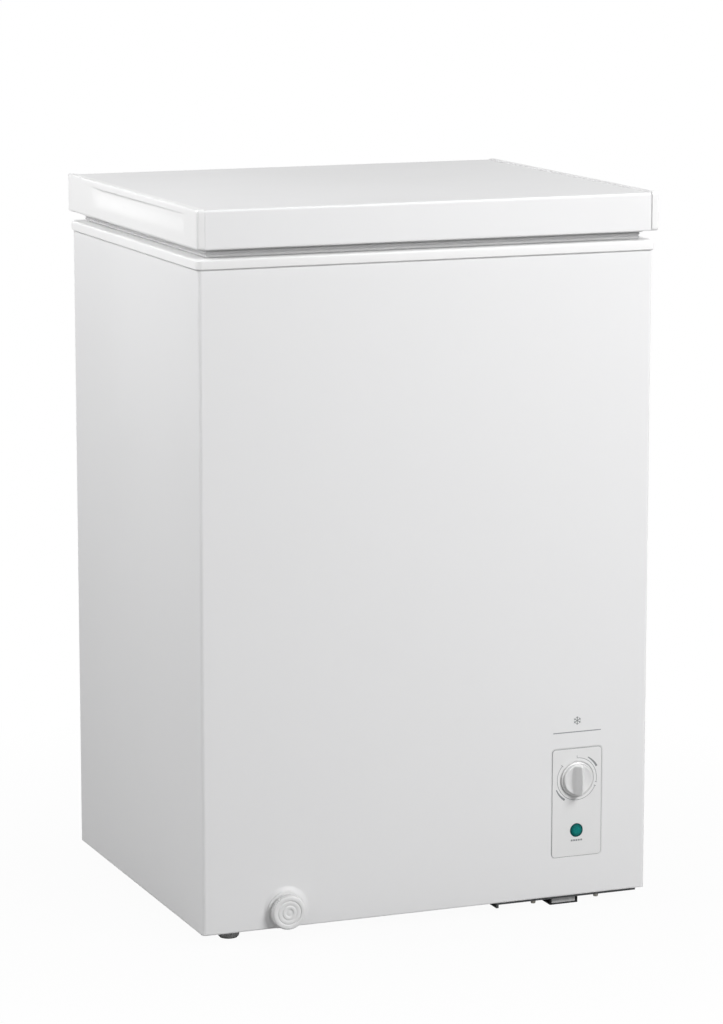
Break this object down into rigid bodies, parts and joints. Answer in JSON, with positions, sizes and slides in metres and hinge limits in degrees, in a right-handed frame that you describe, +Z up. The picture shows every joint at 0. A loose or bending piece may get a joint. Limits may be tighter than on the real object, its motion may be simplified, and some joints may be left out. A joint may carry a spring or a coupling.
{
  "type": "chest freezer",
  "caption": "Upright-cornered chest freezer with a hinged insulated lid, stepped cavity, sliding wire basket, thermostat knob, lamp and front drain.",
  "frame": {"origin": "floor level, under the middle of the whole object's box", "axes": "+Z up, -Y the front with the control panel, +X to the right seen from the front"},
  "size_m": [0.57, 0.5034, 0.85],
  "materials": {
    "painted_shell": "gloss",
    "galvanised_sheet": "satin",
    "insulation": "matte",
    "liner_sheet": "satin",
    "white_plastic": "gloss",
    "lid_liner_plastic": "matte",
    "gasket_rubber": "matte",
    "fascia_plastic": "satin",
    "knob_plastic": "satin",
    "turned_steel": "polished",
    "zinc_screw": "satin",
    "lamp_lens": "polished",
    "natural_plastic": "matte",
    "grey_plastic": "matte",
    "thermostat_metal": "satin",
    "copper": "satin",
    "evaporator_tube": "satin",
    "condenser_tube": "satin",
    "drain_plastic": "satin",
    "plug_rubber": "matte",
    "tray_steel": "satin",
    "black_steel": "satin",
    "rail_filling": "matte",
    "foot_plastic": "matte",
    "black_plastic": "matte",
    "grommet_rubber": "matte",
    "grille_paint": "satin",
    "hinge_steel": "satin",
    "spring_steel": "satin",
    "basket_wire": "gloss"
  },
  "bodies": {
    "cabinet": {"outer_shell": "painted_shell", "back_panel": "galvanised_sheet", "bottom_panel": "galvanised_sheet", "insulation_foam": "insulation", "inner_liner": "liner_sheet", "compartment_shield": "galvanised_sheet", "top_collar": "white_plastic", "evaporator_coil": "evaporator_tube", "condenser_coil": "condenser_tube", "drain_tube": "natural_plastic", "drain_socket": "drain_plastic", "base_tray": "tray_steel", "support_rail": "black_steel", "rail_pad": "rail_filling", "foot_inserts": "grey_plastic", "compressor_can": "black_steel", "compressor_mount": "black_steel", "compressor_grommets": "grommet_rubber", "compressor_bolts": "zinc_screw", "start_relay": "black_plastic", "filter_drier": "copper", "capillary_tube": "copper", "suction_pipe": "copper", "discharge_pipe": "copper", "liquid_pipe": "copper", "rear_grille": "grille_paint", "case_screws": "zinc_screw", "cable_gland": "black_plastic", "control_fascia": "fascia_plastic", "control_box": "grey_plastic", "thermostat_body": "thermostat_metal", "sensor_tube": "copper", "lamp_lens": "lamp_lens", "lamp_holder": "natural_plastic", "hinge_bracket_left": "hinge_steel", "hinge_bracket_right": "hinge_steel", "hinge_pins": "turned_steel", "hinge_springs": "spring_steel", "hinge_screws": "zinc_screw", "wall_spacers": "grey_plastic"},
    "lid": {"lid_skin": "painted_shell", "lid_cap_left": "white_plastic", "lid_cap_right": "white_plastic", "lid_foam": "insulation", "lid_liner": "lid_liner_plastic", "lid_gasket": "gasket_rubber", "hinge_leaf_left": "hinge_steel", "hinge_leaf_right": "hinge_steel", "leaf_screws": "zinc_screw"},
    "knob": {"thermostat_knob": "knob_plastic", "thermostat_shaft": "turned_steel"},
    "spigot": {"drain_spigot": "drain_plastic"},
    "cap": {"drain_cap": "drain_plastic"},
    "plug": {"drain_plug": "plug_rubber"},
    "basket": {"wire_basket": "basket_wire"},
    "front_stud": {"foot_stud_front": "turned_steel"},
    "rear_stud": {"foot_stud_rear": "turned_steel"},
    "front_foot": {"foot_pad_front": "foot_plastic"},
    "rear_foot": {"foot_pad_rear": "foot_plastic"}
  },
  "joints": [
    {"name": "lid_hinge", "type": "hinge", "parent": "cabinet", "child": "lid", "pos_m": [0, 0.2437, 0.8125], "axis": [-1, 0, 0], "range_deg": [0, 80]},
    {"name": "thermostat_turn", "type": "hinge", "parent": "cabinet", "child": "knob", "pos_m": [0.19025, -0.2343, 0.1545], "axis": [0, 1, 0], "range_deg": [0, 300]},
    {"name": "drain_pull", "type": "slide", "parent": "cabinet", "child": "spigot", "axis": [0, -1, 0], "range_m": [0, 0.025]},
    {"name": "drain_turn", "type": "hinge", "parent": "spigot", "child": "cap", "pos_m": [-0.179, -0.2343, 0.0323], "axis": [0, 1, 0], "range_deg": [0, 180]},
    {"name": "plug_lift", "type": "slide", "parent": "cabinet", "child": "plug", "axis": [0, 0, 1], "range_m": [0, 0.04]},
    {"name": "basket_slide", "type": "slide", "parent": "cabinet", "child": "basket", "axis": [-1, 0, 0], "range_m": [0, 0.25]},
    {"name": "front_foot_travel", "type": "slide", "parent": "cabinet", "child": "front_stud", "axis": [0, 0, -1], "range_m": [0, 0.008]},
    {"name": "front_foot_turn", "type": "hinge", "parent": "front_stud", "child": "front_foot", "pos_m": [-0.24, -0.2063, 0.005], "axis": [0, 0, -1], "range_deg": [0, 2304]},
    {"name": "rear_foot_travel", "type": "slide", "parent": "cabinet", "child": "rear_stud", "axis": [0, 0, -1], "range_m": [0, 0.008]},
    {"name": "rear_foot_turn", "type": "hinge", "parent": "rear_stud", "child": "rear_foot", "pos_m": [-0.24, 0.1977, 0.005], "axis": [0, 0, -1], "range_deg": [0, 2304]}
  ],
  "couplings": [
    {"joint": "front_foot_travel", "follows": "front_foot_turn", "m_per_rad": 0.00019894},
    {"joint": "rear_foot_travel", "follows": "rear_foot_turn", "m_per_rad": 0.00019894}
  ]
}
